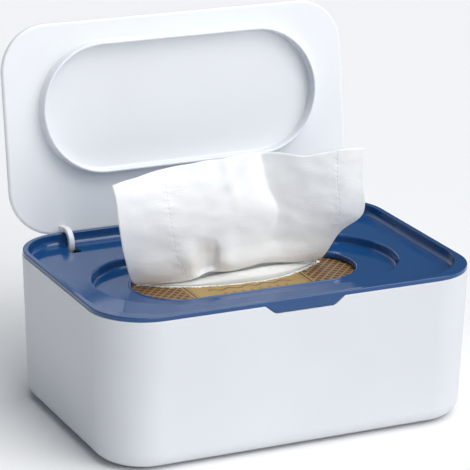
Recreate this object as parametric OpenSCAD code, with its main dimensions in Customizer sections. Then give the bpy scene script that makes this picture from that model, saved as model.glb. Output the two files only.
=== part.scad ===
// Countertop wipes dispenser: a white tub with a lift-off blue cover, a gooseneck-hinged lid
// and a pack of folded wipes. Lengths are in millimetres, X runs to the right, Y to the rear
// and Z up, and the origin is on the table under the middle of the tub. The lid stands open.

/* [Body] */
// Width of the body at its rim
body_w = 190; // [170:1:220]
// Depth of the body at its rim, front to rear
body_d = 131; // [124:1:150]
// Height of the body's rim above the table
body_h = 73.4; // [66:0.2:95]
// Radius of the body's upright corners
body_corner_r = 26; // [20:0.5:32]
// How far each side leans in from the rim to the underside
body_draft = 2; // [0.5:0.1:4]
// Thickness of the body's walls
body_wall = 1.8; // [1.6:0.1:2.2]
// Thickness of the body's floor
body_floor = 2.2; // [2:0.1:3.5]
// Radius of the edge between the walls and the underside
body_foot_r = 8; // [5:0.5:11]
// Thickness of the rim outside the cover's seat
rim_t = 1.1; // [0.9:0.1:1.3]
// Depth of the cover's seat below the rim
seat_depth = 4.6; // [3.5:0.1:6]

/* [Feet] */
// Diameter of each anti-slip pad
foot_dia = 12; // [8:0.5:18]
// Height at which the pads hold the body off the table
foot_stand = 0.8; // [0.4:0.1:1.5]
// Depth of the recess that each pad is glued into
foot_recess = 1.2; // [0.6:0.1:1.4]
// Distance from the underside's edges to the middle of each pad
foot_inset = 24; // [20:1:34]

/* [Cover] */
// How far the cover's lip stands above the body's rim
lip_rise = 1.2; // [0.6:0.1:2.5]
// Width of the lip round the cover
lip_w = 2.4; // [2:0.1:3.5]
// Gap between the cover's skirt and the rim
cover_fit = 0.25; // [0.15:0.05:0.4]
// Depth of the cover's basin below its lip
basin_depth = 5; // [4.2:0.1:6]
// Thickness of the cover
cover_t = 2; // [1.6:0.1:2.4]
// Radius on the cover's top edges
cover_edge_r = 0.7; // [0.3:0.1:0.9]
// Width of the well that the lid's ring drops into
well_w = 152; // [149:0.5:156]
// Depth of the well, front to rear
well_d = 73; // [70:0.5:75]
// How far the well goes down below the basin
well_drop = 4.7; // [3.5:0.1:6]
// Radius of the well's upper edge
well_edge_r = 1; // [0.4:0.1:1.5]
// Place of the well, from the middle of the body towards the rear
well_y = -3.4; // [-5:0.1:-2]
// Width of the dispensing opening
opening_w = 113; // [90:1:118]
// Depth of the dispensing opening, front to rear
opening_d = 43; // [34:0.5:44]
// Place of the opening, from the middle of the well towards the rear
opening_shift = 2.4; // [-1:0.1:2.6]
// Width of the bead round the opening
bead_w = 1.5; // [1:0.1:2.5]
// Height of the bead above the well's floor
bead_rise = 0.5; // [0.3:0.1:0.9]

/* [Pull tab] */
// Width of the tab at its lower edge
tab_low_w = 28; // [16:1:40]
// Run of the S-shaped slope at each end of the tab
tab_slope = 7; // [4:0.5:12]
// How far the tab's face lies behind the body's face
tab_recess = 0.3; // [0.1:0.1:0.5]
// Gap between the tab's ends and the rim
tab_fit = 0.35; // [0.25:0.05:0.6]

/* [Lid] */
// Depth of the lid, from its hinge edge to its front edge
lid_d = 102.5; // [92:0.5:106]
// Thickness of the lid
lid_t = 3; // [2.4:0.1:4]
// Radius of the lid's corners
lid_corner_r = 23; // [16:0.5:28]
// Radius on the lid's edges
lid_edge_r = 1.4; // [0.6:0.1:1.8]
// Gap between the lid's sides and the lip when it is closed
lid_side_gap = 0.55; // [0.4:0.05:1]
// How far the closed lid lies below the top of the lip
lid_sink = 0; // [0:0.1:0.8]
// How far the lid opens, in degrees from closed
lid_open = 98.4; // [80:0.1:100]
// Width of the ring under the lid, over its wall
ring_w = 146.2; // [143:0.2:147]
// Depth of the ring, front to rear
ring_d = 64; // [62:0.5:65]
// Place of the ring, from the middle of the well towards the front
ring_shift = 3.6; // [2:0.1:3.8]
// Thickness of the ring's wall
ring_t = 1.8; // [1.6:0.1:2.2]
// Height of the seal on the ring's free edge
seal_h = 1.2; // [1:0.1:1.8]
// Thickness of the seal
seal_t = 1.4; // [1.2:0.1:1.5]
// Gap left under the seal in the well
seal_gap = 0.3; // [0.2:0.05:0.6]

/* [Hinge] */
// Distance from the body's side to the middle of each hinge arm
arm_side = 29.8; // [29:0.1:50]
// Thickness of each arm, across the lid
arm_t = 3; // [2.4:0.1:4]
// Width of the arm's band, seen from the side
arm_band = 2.6; // [2.2:0.1:2.8]
// Distance from the lid's hinge edge to the middle of the arm's neck
arm_inset = 3; // [2.8:0.1:4]
// How far the arm is let into the lid
arm_tenon = 1.4; // [0.8:0.1:1.8]
// Width of the arm's hub along the pin
hub_w = 4.4; // [4:0.1:6]
// Radius of the hub and of the cheeks that carry the pin
hub_r = 1.9; // [1.7:0.1:2.1]
// Gap between the hub and the body's rear wall
hub_gap = 0.3; // [0.25:0.05:0.6]
// Depth of the pin's axis below the basin
hinge_drop = 4.1; // [4:0.1:5]
// Clearance between the swinging lid and the rear lip
swing_gap = 0.8; // [0.7:0.1:1.5]
// Radius of the hinge pins
pin_r = 0.8; // [0.6:0.05:1]
// Running clearance round the pins
pin_fit = 0.05; // [0.02:0.01:0.09]
// Thickness of the cheeks beside each hub
cheek_t = 2; // [1.4:0.1:3]
// Side clearance of each hub, and of each arm in its slot
side_fit = 0.2; // [0.15:0.05:0.4]

/* [Wipes] */
// Room left beside the pack at its ends
pack_end_room = 5.4; // [3:0.1:14]
// Depth of the pack, front to rear
pack_d = 96; // [80:1:97]
// Corner radius of the pack
pack_corner_r = 10; // [5:0.5:16]
// Radius on the pack's upper edges
pack_edge_r = 7; // [4:0.5:10]
// Thickness of the pack's film where it is drawn
film_t = 0.6; // [0.4:0.1:1]
// Small gap that keeps soft pieces clear of what carries them
soft_gap = 0.3; // [0.2:0.05:0.4]
// Room between the pack and the underside of the well
head_room = 0.5; // [0.4:0.1:2]
// Width of the torn slot in the pack
tear_w = 95; // [70:1:98]
// Depth of the torn slot, front to rear
tear_d = 21; // [16:0.5:26]
// Width of the pulled wipe at its upper edge
wipe_w = 129; // [110:1:138]
// Height of the pulled wipe above the pack
wipe_h = 57; // [40:1:66]
// Thickness of the pulled wipe's solid
wipe_t = 1.2; // [0.8:0.1:2]

/* [Hidden] */
$fn = 72;
over = 1;                                       // how far a cut runs past what it cuts

// Body: the shell's levels and half sizes
seat_z = body_h - seat_depth;
floor_z = foot_stand + body_floor;
inner_foot_r = max(body_foot_r - body_wall, 1);
foot_fit = 0.15;
wall_slope = body_draft / (body_h - foot_stand);

// Cover: it sits 0.1 mm over its seat, inside the rim
seat_gap = 0.1;
cover_in = rim_t + cover_fit;
cover_w = body_w - 2 * cover_in;
cover_d = body_d - 2 * cover_in;
cover_r = body_corner_r - cover_in;
cover_top = body_h + lip_rise;
skirt_z = seat_z + seat_gap;
basin_z = cover_top - basin_depth;
under_z = basin_z - cover_t;
well_z = basin_z - well_drop;
well_under = well_z - cover_t;
opening_y = well_y + opening_shift;
plate_in = body_wall + wall_slope * (body_h - under_z) + cover_fit;
snug = 0.05;                                    // round a piece that is pushed or glued in

// Hinge: the pin hangs under the basin, close to the rear wall
arm_x = body_w / 2 - arm_side;
hinge_z = basin_z - hinge_drop;
hinge_y = body_d / 2 - wall_slope * (body_h - hinge_z) - body_wall - hub_gap - hub_r;
lid_low = cover_top - lid_t - lid_sink;
lip_reach = norm([cover_d / 2 - hinge_y, cover_top - hinge_z]) + swing_gap;
lid_rear = hinge_y - sqrt(max(lip_reach * lip_reach - pow(lid_low - hinge_z, 2), 1));
lid_y = lid_rear - lid_d / 2;
lid_w = cover_w - 2 * lip_w - 2 * lid_side_gap;
neck_y = lid_rear - arm_inset;
neck_arc_y = (neck_y + hinge_y) / 2;
neck_arc_r = (hinge_y - neck_y) / 2;
slot_w = hub_w + 2 * side_fit;
slot_front = neck_y - arm_band / 2 - 2 * side_fit;
slot_rear = cover_d / 2 - lip_w / 2;
hinge_w = slot_w + 2 * cheek_t;                 // over both cheeks

// Ring and seal: the seal stops just above the well's floor
ring_y = well_y - ring_shift;
ring_low = well_z + seal_gap + seal_h;
tongue_w = seal_t - 0.6;                        // tongue of the seal in the ring's edge
tongue_h = 0.9;

// Pack and wipes
pack_w = body_w - 2 * (body_draft + body_wall + pack_end_room);
pack_low = floor_z + soft_gap;
pack_top = well_under - head_room;
tear_x = -2;                                    // the slot is torn a little off centre
tear_y = opening_y + 5;
stack_low = pack_low + film_t + soft_gap;
stack_top = pack_top - film_t - soft_gap;
next_h = 1;                                     // height of the next wipe's fold
wipe_low = stack_top + snug + next_h + soft_gap;
wipe_y = tear_y - tear_d / 2 + 4;               // it rises close behind the torn front edge
next_w = tear_w - 2 * tear_d;
wipe_cols = 26;
wipe_rows = 9;

function smooth(t) = let (c = min(max(t, 0), 1)) c * c * (3 - 2 * c);
function lerp(a, b, t) = a + (b - a) * t;

// Flat rounded rectangle, which is a racetrack when r is half of d
module rounded_plan(w, d, r) {
    square([w - 2 * r, d], center = true);
    if (d - 2 * r > 0.01) square([w, d - 2 * r], center = true);
    for (sx = [-1, 1], sy = [-1, 1]) translate([sx * (w / 2 - r), sy * (d / 2 - r)]) circle(r);
}

// Carries a section round a rounded rectangle: x counts outwards from its corner centres
module swept(w, d, r) {
    for (sx = [-1, 1], sy = [-1, 1])
        translate([sx * (w / 2 - r), sy * (d / 2 - r), 0])
            rotate([0, 0, sy > 0 ? (sx > 0 ? 0 : 90) : (sx > 0 ? 270 : 180)])
                rotate_extrude(angle = 90) children();
    for (turn = [0, 180]) rotate([0, 0, turn]) {
        translate([-(w / 2 - r), d / 2 - r, 0])
            rotate([90, 0, 90]) linear_extrude(w - 2 * r) children();
        if (d - 2 * r > 0.01)
            translate([w / 2 - r, d / 2 - r, 0])
                rotate([90, 0, 0]) linear_extrude(d - 2 * r) children();
    }
}

// Half section of the tub's outside, moved in by inset, from the level low up to high
module tub_section(inset, low, high, foot_r) {
    foot_x = body_corner_r - body_draft - inset;
    top_x = body_corner_r - inset + wall_slope * (high - body_h);
    polygon([[0, low], [foot_x - foot_r, low], [foot_x - foot_r, low + foot_r],
             [foot_x, low + foot_r], [top_x, high], [0, high]]);
    translate([foot_x - foot_r, low + foot_r]) circle(foot_r);
}

// Outline of the pull tab in X and Z, wider by spare at each end
module tab_outline(low, high, spare) {
    slope_steps = 8;
    function edge(side) = [for (i = [0:slope_steps])
        let (t = side > 0 ? i / slope_steps : 1 - i / slope_steps)
        [side * (tab_low_w / 2 + spare + tab_slope * t), lerp(seat_z, body_h, smooth(t))]];
    difference() {
        polygon(concat(edge(1), [[tab_low_w / 2 + tab_slope + spare, high],
                                 [-tab_low_w / 2 - tab_slope - spare, high]], edge(-1)));
        translate([-body_w / 2, seat_z - over]) square([body_w, low - seat_z + over]);
    }
}

// Stands a flat outline in X and Z upright, from the depth front back to the depth rear
module upright(front, rear) {
    translate([0, rear, 0]) rotate([90, 0, 0]) linear_extrude(rear - front) children();
}

// Extrudes a side view in Y and Z to a thickness about x
module side_view(x, thickness) {
    translate([x - thickness / 2, 0, 0]) rotate([90, 0, 90]) linear_extrude(thickness) children();
}

// Turns what is drawn with the lid closed about the pins, to the lid's open place
module opened() {
    translate([0, hinge_y, hinge_z]) rotate([-lid_open, 0, 0])
        translate([0, -hinge_y, -hinge_z]) children();
}

module body_section() {
    bead = rim_t / 2;
    difference() {
        tub_section(0, foot_stand, body_h - bead, body_foot_r);
        tub_section(body_wall, floor_z, body_h, inner_foot_r);
        translate([0, seat_z]) square([body_corner_r - rim_t, seat_depth]);
    }
    translate([body_corner_r - bead, body_h - bead]) circle(bead);
}

module body() {
    color([0.94, 0.95, 0.97]) difference() {
        union() {
            swept(body_w, body_d, body_corner_r) body_section();
            core_w = body_w - 2 * body_corner_r;
            core_d = body_d - 2 * body_corner_r;
            translate([-core_w / 2, -core_d / 2, foot_stand]) cube([core_w, core_d, body_floor]);
        }
        upright(-body_d / 2 - over, -cover_d / 2 + over)
            tab_outline(seat_z, body_h + over, tab_fit);
        for (sx = [-1, 1], sy = [-1, 1]) translate(foot_place(sx, sy, foot_stand - over))
            cylinder(r = foot_dia / 2 + foot_fit, h = foot_recess + over);
    }
}

function foot_place(sx, sy, z) = [sx * (body_w / 2 - body_draft - foot_inset),
                                  sy * (body_d / 2 - body_draft - foot_inset), z];

module foot(sx, sy) {
    chamfer = 0.3;
    color([0.8, 0.82, 0.84]) translate(foot_place(sx, sy, 0)) rotate_extrude()
        polygon([[0, 0], [foot_dia / 2 - chamfer, 0], [foot_dia / 2, chamfer],
                 [foot_dia / 2, foot_stand + foot_recess], [0, foot_stand + foot_recess]]);
}

// Lip and skirt of the cover, with both top edges rounded
module lip_section() {
    e = cover_edge_r;
    translate([cover_r - lip_w, skirt_z]) square([lip_w, cover_top - skirt_z - e]);
    translate([cover_r - lip_w + e, cover_top - 2 * e]) square([lip_w - 2 * e, 2 * e]);
    for (x = [e, lip_w - e]) translate([cover_r - lip_w + x, cover_top - e]) circle(e);
}

// What a rounded edge takes off the rim of a hole of radius r at the level z
module edge_section(r, z, e) {
    difference() {
        translate([r - over, z - e]) square([e + over, e + over]);
        translate([r + e, z - e]) circle(e);
    }
}

// Bead round the dispensing opening
module bead_section() {
    r = opening_d / 2;
    translate([r, well_under]) square([bead_w, well_z + bead_rise - bead_w / 2 - well_under]);
    translate([r + bead_w / 2, well_z + bead_rise - bead_w / 2]) circle(bead_w / 2);
}

module hinge_cheeks(x) {
    for (side = [-1, 1])
        side_view(x + side * (slot_w + cheek_t) / 2, cheek_t) {
            translate([hinge_y, hinge_z]) circle(hub_r);
            translate([hinge_y - hub_r, hinge_z]) square([2 * hub_r, under_z - hinge_z + over / 2]);
        }
}

module top_cover() {
    color([0.17, 0.3, 0.55]) difference() {
        union() {
            swept(cover_w, cover_d, cover_r) lip_section();
            translate([0, 0, under_z]) linear_extrude(cover_t)
                rounded_plan(body_w - 2 * plate_in, body_d - 2 * plate_in, body_corner_r - plate_in);
            translate([0, well_y, well_under]) linear_extrude(under_z + over / 2 - well_under)
                rounded_plan(well_w + 2 * cover_t, well_d + 2 * cover_t, well_d / 2 + cover_t);
            upright(-body_d / 2 + tab_recess, -cover_d / 2 + lip_w / 2)
                tab_outline(skirt_z, cover_top - cover_edge_r, 0);
            hinge_cheeks(arm_x);
            hinge_cheeks(-arm_x);
        }
        difference() {
            translate([0, well_y, well_z]) linear_extrude(well_drop + over)
                rounded_plan(well_w, well_d, well_d / 2);
            translate([0, opening_y, 0])
                swept(opening_w, opening_d, opening_d / 2) bead_section();
        }
        translate([0, well_y, 0]) swept(well_w, well_d, well_d / 2)
            edge_section(well_d / 2, basin_z, well_edge_r);
        translate([0, opening_y, well_under - over]) linear_extrude(well_drop)
            rounded_plan(opening_w, opening_d, opening_d / 2);
        for (x = [-arm_x, arm_x]) {
            translate([x - slot_w / 2, slot_front, under_z - over])
                cube([slot_w, slot_rear - slot_front, cover_top - under_z + 2 * over]);
            side_view(x, hinge_w + over)
                translate([hinge_y, hinge_z]) circle(pin_r + pin_fit / 2);
        }
    }
}

// Section of the lid's plate, with both edges rounded
module lid_section() {
    e = min(lid_edge_r, lid_t / 2 - snug);
    r = lid_corner_r;
    translate([0, lid_low]) square([r - e, lid_t]);
    translate([0, lid_low + e]) square([r, lid_t - 2 * e]);
    for (z = [e, lid_t - e]) translate([r - e, lid_low + z]) circle(e);
}

// Wall of the ring, with a groove for the seal's tongue in its free edge
module ring_section() {
    groove_w = tongue_w + 4 * snug;
    r = ring_d / 2;
    difference() {
        translate([r - ring_t, ring_low]) square([ring_t, lid_low + over / 2 - ring_low]);
        translate([r - (ring_t + groove_w) / 2, ring_low - over])
            square([groove_w, over + tongue_h + 2 * snug]);
    }
}

module lid() {
    color([0.94, 0.95, 0.97]) opened() difference() {
        union() {
            translate([0, lid_y, 0]) swept(lid_w, lid_d, lid_corner_r) lid_section();
            translate([0, lid_y, lid_low]) linear_extrude(lid_t)
                square([lid_w - 2 * lid_corner_r, lid_d - 2 * lid_corner_r], center = true);
            translate([0, ring_y, 0]) swept(ring_w, ring_d, ring_d / 2) ring_section();
        }
        for (x = [-arm_x, arm_x])
            translate([x - arm_t / 2 - snug, neck_y - arm_band / 2 - snug, lid_low - over])
                cube([arm_t + 2 * snug, arm_band + 2 * snug, arm_tenon + over]);
    }
}

// Seal on the ring's free edge: a rounded nose below and a tongue above
module seal_section() {
    mid = (ring_d - ring_t) / 2;
    nose_z = ring_low - seal_h + seal_t / 2;
    translate([mid - seal_t / 2, nose_z]) square([seal_t, ring_low - snug - nose_z]);
    translate([mid, nose_z]) circle(seal_t / 2);
    translate([mid - tongue_w / 2, nose_z]) square([tongue_w, ring_low + tongue_h - nose_z]);
}

module lid_seal() {
    color([0.86, 0.88, 0.9]) opened()
        translate([0, ring_y, 0]) swept(ring_w, ring_d, ring_d / 2) seal_section();
}

// Side view of a gooseneck: hub, half ring and neck, drawn with the lid closed
module arm_view() {
    difference() {
        translate([neck_arc_y, hinge_z]) circle(neck_arc_r + arm_band / 2);
        translate([neck_arc_y, hinge_z]) circle(neck_arc_r - arm_band / 2);
        translate([neck_arc_y - lid_d, hinge_z]) square([2 * lid_d, lid_d]);
    }
    translate([neck_y - arm_band / 2, hinge_z - snug])
        square([arm_band, lid_low + arm_tenon - hinge_z]);
    translate([hinge_y, hinge_z]) circle(hub_r);
}

module hinge_arm(x) {
    color([0.94, 0.95, 0.97]) opened() difference() {
        union() {
            side_view(x, arm_t) arm_view();
            side_view(x, hub_w) translate([hinge_y, hinge_z]) circle(hub_r);
        }
        side_view(x, hub_w + over) translate([hinge_y, hinge_z]) circle(pin_r + pin_fit);
    }
}

module hinge_pin(x) {
    color([0.75, 0.76, 0.78]) side_view(x, hinge_w)
        translate([hinge_y, hinge_z]) circle(pin_r);
}

// Section of a soft brick whose upper edges are rounded
module brick_section(r, low, high, edge) {
    translate([0, low]) square([r, high - low - edge]);
    translate([0, low]) square([r - edge, high - low]);
    translate([r - edge, high - edge]) intersection() {
        circle(edge);
        square(edge);
    }
}

module brick(w, d, r, low, high, edge) {
    swept(w, d, r) brick_section(r, low, high, edge);
    translate([0, 0, low]) linear_extrude(high - low) square([w - 2 * r, d - 2 * r], center = true);
}

module film_section() {
    difference() {
        brick_section(pack_corner_r, pack_low, pack_top, pack_edge_r);
        brick_section(pack_corner_r - film_t, pack_low + film_t, pack_top - film_t,
                      pack_edge_r - film_t);
    }
}

module wipes_pack() {
    color([0.76, 0.62, 0.38]) difference() {
        translate([0, well_y, 0]) {
            swept(pack_w, pack_d, pack_corner_r) film_section();
            for (z = [pack_low, pack_top - film_t]) translate([0, 0, z]) linear_extrude(film_t)
                square([pack_w - 2 * pack_corner_r, pack_d - 2 * pack_corner_r], center = true);
        }
        translate([tear_x, tear_y, stack_top]) linear_extrude(pack_top - stack_top + over)
            rounded_plan(tear_w, tear_d, tear_d / 2 - over);
    }
}

module wipes_stack() {
    room = film_t + 2 * soft_gap;
    color([0.96, 0.96, 0.94]) translate([0, well_y, 0])
        brick(pack_w - 2 * room, pack_d - 2 * room, pack_corner_r - room,
              stack_low, stack_top, pack_edge_r - film_t);
}

module next_wipe() {
    color([0.97, 0.97, 0.95]) translate([tear_x - next_w / 2, wipe_y - wipe_t, stack_top + snug])
        cube([next_w, 2 * wipe_t, next_h]);
}

// Point of the pulled wipe: u runs across it, v up it, and side is its front or rear face
function wipe_point(u, v, side) =
    let (foot_x = lerp(-opening_w / 2 - 4, opening_w / 2 + 7, u),
         head_x = lerp(-wipe_w / 2, wipe_w / 2, u) - 2,
         left_lift = 4.5 * smooth((12 - foot_x - opening_w / 2) / 12),
         right_lift = 23 * smooth((foot_x - opening_w / 2 + 20) / 27),
         foot_z = wipe_low + left_lift + right_lift,
         head_z = wipe_low + wipe_h * (1 + 0.07 * sin(180 * u)),
         x = lerp(foot_x, head_x, smooth(v)),
         turn_back = 0.3 * max(x - 8, 0) * lerp(0.2, 1, v),
         fold = 2 * sin(540 * u + 40) * v)
    [x, wipe_y + turn_back + fold + 3 * v + side * wipe_t / 2, lerp(foot_z, head_z, v)];

module dispensed_wipe() {
    count = wipe_cols + 1;
    function at(side, row, col) = side * count * (wipe_rows + 1) + row * count + col;
    points = [for (side = [0, 1], row = [0:wipe_rows], col = [0:wipe_cols])
        wipe_point(col / wipe_cols, row / wipe_rows, 2 * side - 1)];
    skins = [for (row = [0:wipe_rows - 1], col = [0:wipe_cols - 1], side = [0, 1])
        let (a = at(side, row, col), b = at(side, row, col + 1),
             c = at(side, row + 1, col + 1), d = at(side, row + 1, col))
        each side == 0 ? [[a, c, b], [a, d, c]] : [[a, b, c], [a, c, d]]];
    rims = [for (col = [0:wipe_cols - 1], row = [0, wipe_rows])
        let (a = at(0, row, col), b = at(0, row, col + 1),
             c = at(1, row, col + 1), d = at(1, row, col))
        each row == 0 ? [[a, b, c], [a, c, d]] : [[a, c, b], [a, d, c]]];
    ends = [for (row = [0:wipe_rows - 1], col = [0, wipe_cols])
        let (a = at(0, row, col), b = at(0, row + 1, col),
             c = at(1, row + 1, col), d = at(1, row, col))
        each col == 0 ? [[a, c, b], [a, d, c]] : [[a, b, c], [a, c, d]]];
    color([0.98, 0.98, 0.97]) polyhedron(points, concat(skins, rims, ends));
}

body();
foot(-1, -1);  // foot_front_left
foot(1, -1);  // foot_front_right
foot(-1, 1);  // foot_rear_left
foot(1, 1);  // foot_rear_right
top_cover();
lid();
lid_seal();
hinge_arm(-arm_x);  // hinge_arm_left
hinge_arm(arm_x);  // hinge_arm_right
hinge_pin(-arm_x);  // hinge_pin_left
hinge_pin(arm_x);  // hinge_pin_right
wipes_pack();
wipes_stack();
next_wipe();
dispensed_wipe();
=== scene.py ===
import bpy, bmesh, math, random
from mathutils import Matrix, Vector, noise


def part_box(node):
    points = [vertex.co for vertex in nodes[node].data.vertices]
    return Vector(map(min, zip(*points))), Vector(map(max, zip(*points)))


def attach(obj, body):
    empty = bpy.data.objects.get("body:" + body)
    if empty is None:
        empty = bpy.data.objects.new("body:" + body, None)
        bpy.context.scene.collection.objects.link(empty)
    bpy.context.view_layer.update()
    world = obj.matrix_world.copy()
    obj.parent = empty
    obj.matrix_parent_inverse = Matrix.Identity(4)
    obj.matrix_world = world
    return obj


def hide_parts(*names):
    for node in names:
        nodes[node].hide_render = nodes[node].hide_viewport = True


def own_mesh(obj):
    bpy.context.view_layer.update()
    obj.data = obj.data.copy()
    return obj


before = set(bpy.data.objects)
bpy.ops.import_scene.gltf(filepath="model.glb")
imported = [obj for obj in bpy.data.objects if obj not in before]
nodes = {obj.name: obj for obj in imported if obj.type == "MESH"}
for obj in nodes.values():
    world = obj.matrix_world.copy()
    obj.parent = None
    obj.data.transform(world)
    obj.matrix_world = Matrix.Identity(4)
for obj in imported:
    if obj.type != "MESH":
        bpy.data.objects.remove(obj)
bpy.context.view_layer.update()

mm = 0.001
print("frame loaded:", len(nodes), "nodes")


cameraView = {"yaw": 25.335, "pitch": 17.983, "roll": 0.787, "distance": 1.22981,
              "target": (-0.00484, 0, 0.08522), "lens": 200.18, "sensor": 36, "near": 0.05, "far": 50}


def makeCamera():                               # stands where the photograph was taken from
    c = cameraView
    yaw, pitch, roll = (math.radians(c[angle]) for angle in ("yaw", "pitch", "roll"))
    ahead = Vector((math.sin(yaw) * math.cos(pitch), math.cos(yaw) * math.cos(pitch), -math.sin(pitch)))
    level = Vector((math.cos(yaw), -math.sin(yaw), 0))
    above = level.cross(ahead)
    right = level * math.cos(roll) + above * math.sin(roll)
    up = above * math.cos(roll) - level * math.sin(roll)
    place = Vector(c["target"]) - ahead * c["distance"]
    data = bpy.data.cameras.new("photoCamera")
    data.lens, data.sensor_width = c["lens"], c["sensor"]
    data.clip_start, data.clip_end = c["near"], c["far"]
    camera = bpy.data.objects.new("photoCamera", data)
    bpy.context.scene.collection.objects.link(camera)
    turn = Matrix((right, up, -ahead)).transposed().to_4x4()
    camera.matrix_world = Matrix.Translation(place) @ turn
    bpy.context.scene.camera = camera
    return place


cameraPlace = makeCamera()


class Wire:                                     # wraps a socket, so maths on it adds nodes
    def __init__(self, tree, socket=None):
        self.tree, self.socket = tree, socket

    def node(self, kind, settings=None, inputs=None, output=0):
        made = self.tree.nodes.new(kind)
        for name, value in (settings or {}).items():
            setattr(made, name, value)
        for name, value in (inputs or {}).items():
            if isinstance(value, Wire):
                self.tree.links.new(value.socket, made.inputs[name])
            else:
                made.inputs[name].default_value = value
        return Wire(self.tree, made.outputs[output])

    def math(self, operation, *values):
        return self.node("ShaderNodeMath", {"operation": operation}, dict(enumerate(values)))

    def __add__(self, other):
        return self.math("ADD", self, other)

    def __radd__(self, other):
        return self.math("ADD", other, self)

    def __sub__(self, other):
        return self.math("SUBTRACT", self, other)

    def __rsub__(self, other):
        return self.math("SUBTRACT", other, self)

    def __mul__(self, other):
        return self.math("MULTIPLY", self, other)

    def __rmul__(self, other):
        return self.math("MULTIPLY", other, self)

    def __truediv__(self, other):
        return self.math("DIVIDE", self, other)

    def absolute(self):
        return self.math("ABSOLUTE", self)

    def larger(self, other):
        return self.math("MAXIMUM", self, other)

    def fromMiddle(self):                       # 0 halfway between two whole numbers, 0.5 at each
        return (self.math("FRACT", self) - 0.5).absolute()

    def over(self, low, high):                  # 0 below low, 1 above high, smooth between
        return self.node("ShaderNodeMapRange", {"interpolation_type": "SMOOTHSTEP"},
                         {"Value": self, "From Min": low, "From Max": high})

    def mix(self, first, second):               # colour from first to second as self goes 0 to 1
        return self.node("ShaderNodeMix", {"data_type": "RGBA"},
                         {0: self, 6: first, 7: second}, output=2)


def paint(name):
    material = bpy.data.materials.new(name)
    material.use_nodes = True
    tree = material.node_tree
    shader = tree.nodes["Principled BSDF"]
    start = Wire(tree)
    place = start.node("ShaderNodeTexCoord", output=3)      # object coordinates, in metres
    return material, shader, start, place


def feed(shader, **sockets):
    for name, value in sockets.items():
        socket = shader.inputs[name.replace("_", " ")]
        if isinstance(value, Wire):
            value.tree.links.new(value.socket, socket)
        else:
            socket.default_value = value


def speckle(start, place, scale, detail=3, roughness=0.5):
    return start.node("ShaderNodeTexNoise", None, {"Vector": place, "Scale": scale, "Detail": detail,
                                                   "Roughness": roughness})


def bump(start, height, distance, strength=1.0):
    return start.node("ShaderNodeBump", None, {"Height": height, "Distance": distance,
                                               "Strength": strength})


def axisOf(start, place, index):
    return start.node("ShaderNodeSeparateXYZ", None, {0: place}, output=index)


def tint(red, green, blue):
    return (red, green, blue, 1.0)


# The tub and the lid are one white plastic. The tub's copy is darker as painted shade and the lid's is
# lighter as painted light.
whiteLook = {"tub": tint(0.665, 0.684, 0.714), "lid": tint(0.795, 0.812, 0.836), "dulled": 0.97,
             "rough": 0.33, "cloud": 14, "grain": 2600, "ior": 1.5, "glow": 0.06,
             "glowTint": (0.9, 0.95, 1.0), "glowDepth": 0.002}


def whitePlastic(name, base):
    material, shader, start, place = paint(name)
    dull = tint(*(whiteLook["dulled"] * c for c in base[:3]))
    cloud = speckle(start, place, whiteLook["cloud"], 2)
    grain = speckle(start, place, whiteLook["grain"], 2, 0.6)
    feed(shader, Base_Color=cloud.over(0.35, 0.7).mix(base, dull),
         Roughness=whiteLook["rough"] + 0.08 * cloud + 0.05 * grain,
         Normal=bump(start, grain, 0.00002, 0.35))
    feed(shader, IOR=whiteLook["ior"], Subsurface_Weight=whiteLook["glow"],
         Subsurface_Radius=whiteLook["glowTint"], Subsurface_Scale=whiteLook["glowDepth"])
    return material


blueLook = {"base": tint(0.0100, 0.064, 0.202), "dull": tint(0.0090, 0.059, 0.188), "rough": 0.06,
            "cloud": 20, "grain": 1800, "ior": 1.55}


def bluePlastic():
    material, shader, start, place = paint("glossyBluePlastic")
    cloud = speckle(start, place, blueLook["cloud"], 2)
    grain = speckle(start, place, blueLook["grain"], 2, 0.6)
    feed(shader, Base_Color=cloud.over(0.35, 0.7).mix(blueLook["base"], blueLook["dull"]),
         Roughness=blueLook["rough"] + 0.03 * cloud + 0.02 * grain,
         Normal=bump(start, grain, 0.00001, 0.3), IOR=blueLook["ior"])
    return material


rubberLook = {"seal": tint(0.80, 0.83, 0.88), "sealRough": 0.42, "sealGrain": 900,
              "pads": tint(0.50, 0.53, 0.57), "padsRough": 0.62, "padsGrain": 1500,
              "dulled": 0.93, "glow": 0.25, "glowDepth": 0.001}


def siliconeRubber(name, part):
    material, shader, start, place = paint(name)
    base = rubberLook[part]
    grain = speckle(start, place, rubberLook[part + "Grain"], 3, 0.6)
    feed(shader, Base_Color=grain.mix(base, tint(*(rubberLook["dulled"] * c for c in base[:3]))),
         Roughness=rubberLook[part + "Rough"] + 0.1 * grain, Normal=bump(start, grain, 0.00003, 0.4))
    feed(shader, Subsurface_Weight=rubberLook["glow"], Subsurface_Scale=rubberLook["glowDepth"])
    return material


steelLook = {"bright": tint(0.62, 0.63, 0.65), "dark": tint(0.46, 0.47, 0.5), "rough": 0.28,
             "drawn": (4000, 300, 300)}


def drawnSteel():                               # the lines of the draw run round the wire
    material, shader, start, place = paint("drawnSteel")
    stretched = start.node("ShaderNodeMapping", None, {"Vector": place, "Scale": steelLook["drawn"]})
    lines = speckle(start, stretched, 1.0, 3, 0.6)
    feed(shader, Base_Color=lines.mix(steelLook["bright"], steelLook["dark"]), Metallic=1.0,
         Roughness=steelLook["rough"] + 0.15 * lines, Normal=bump(start, lines, 0.00001, 0.3))
    return material


# Two copies of one white plastic: painted shade on the tub, painted light on the lid and its arms.
shadedTubWhite = whitePlastic("satinTubPlasticShaded", whiteLook["tub"])
litLidWhite = whitePlastic("satinLidPlasticLit", whiteLook["lid"])
blue = bluePlastic()
silicone = siliconeRubber("paleSilicone", "seal")
padRubber = siliconeRubber("greyPadRubber", "pads")
steel = drawnSteel()
print("plastics, rubber and steel made")


def deselectAll():
    if bpy.context.object and bpy.context.object.mode != "OBJECT":
        bpy.ops.object.mode_set(mode="OBJECT")
    bpy.ops.object.select_all(action="DESELECT")


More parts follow.
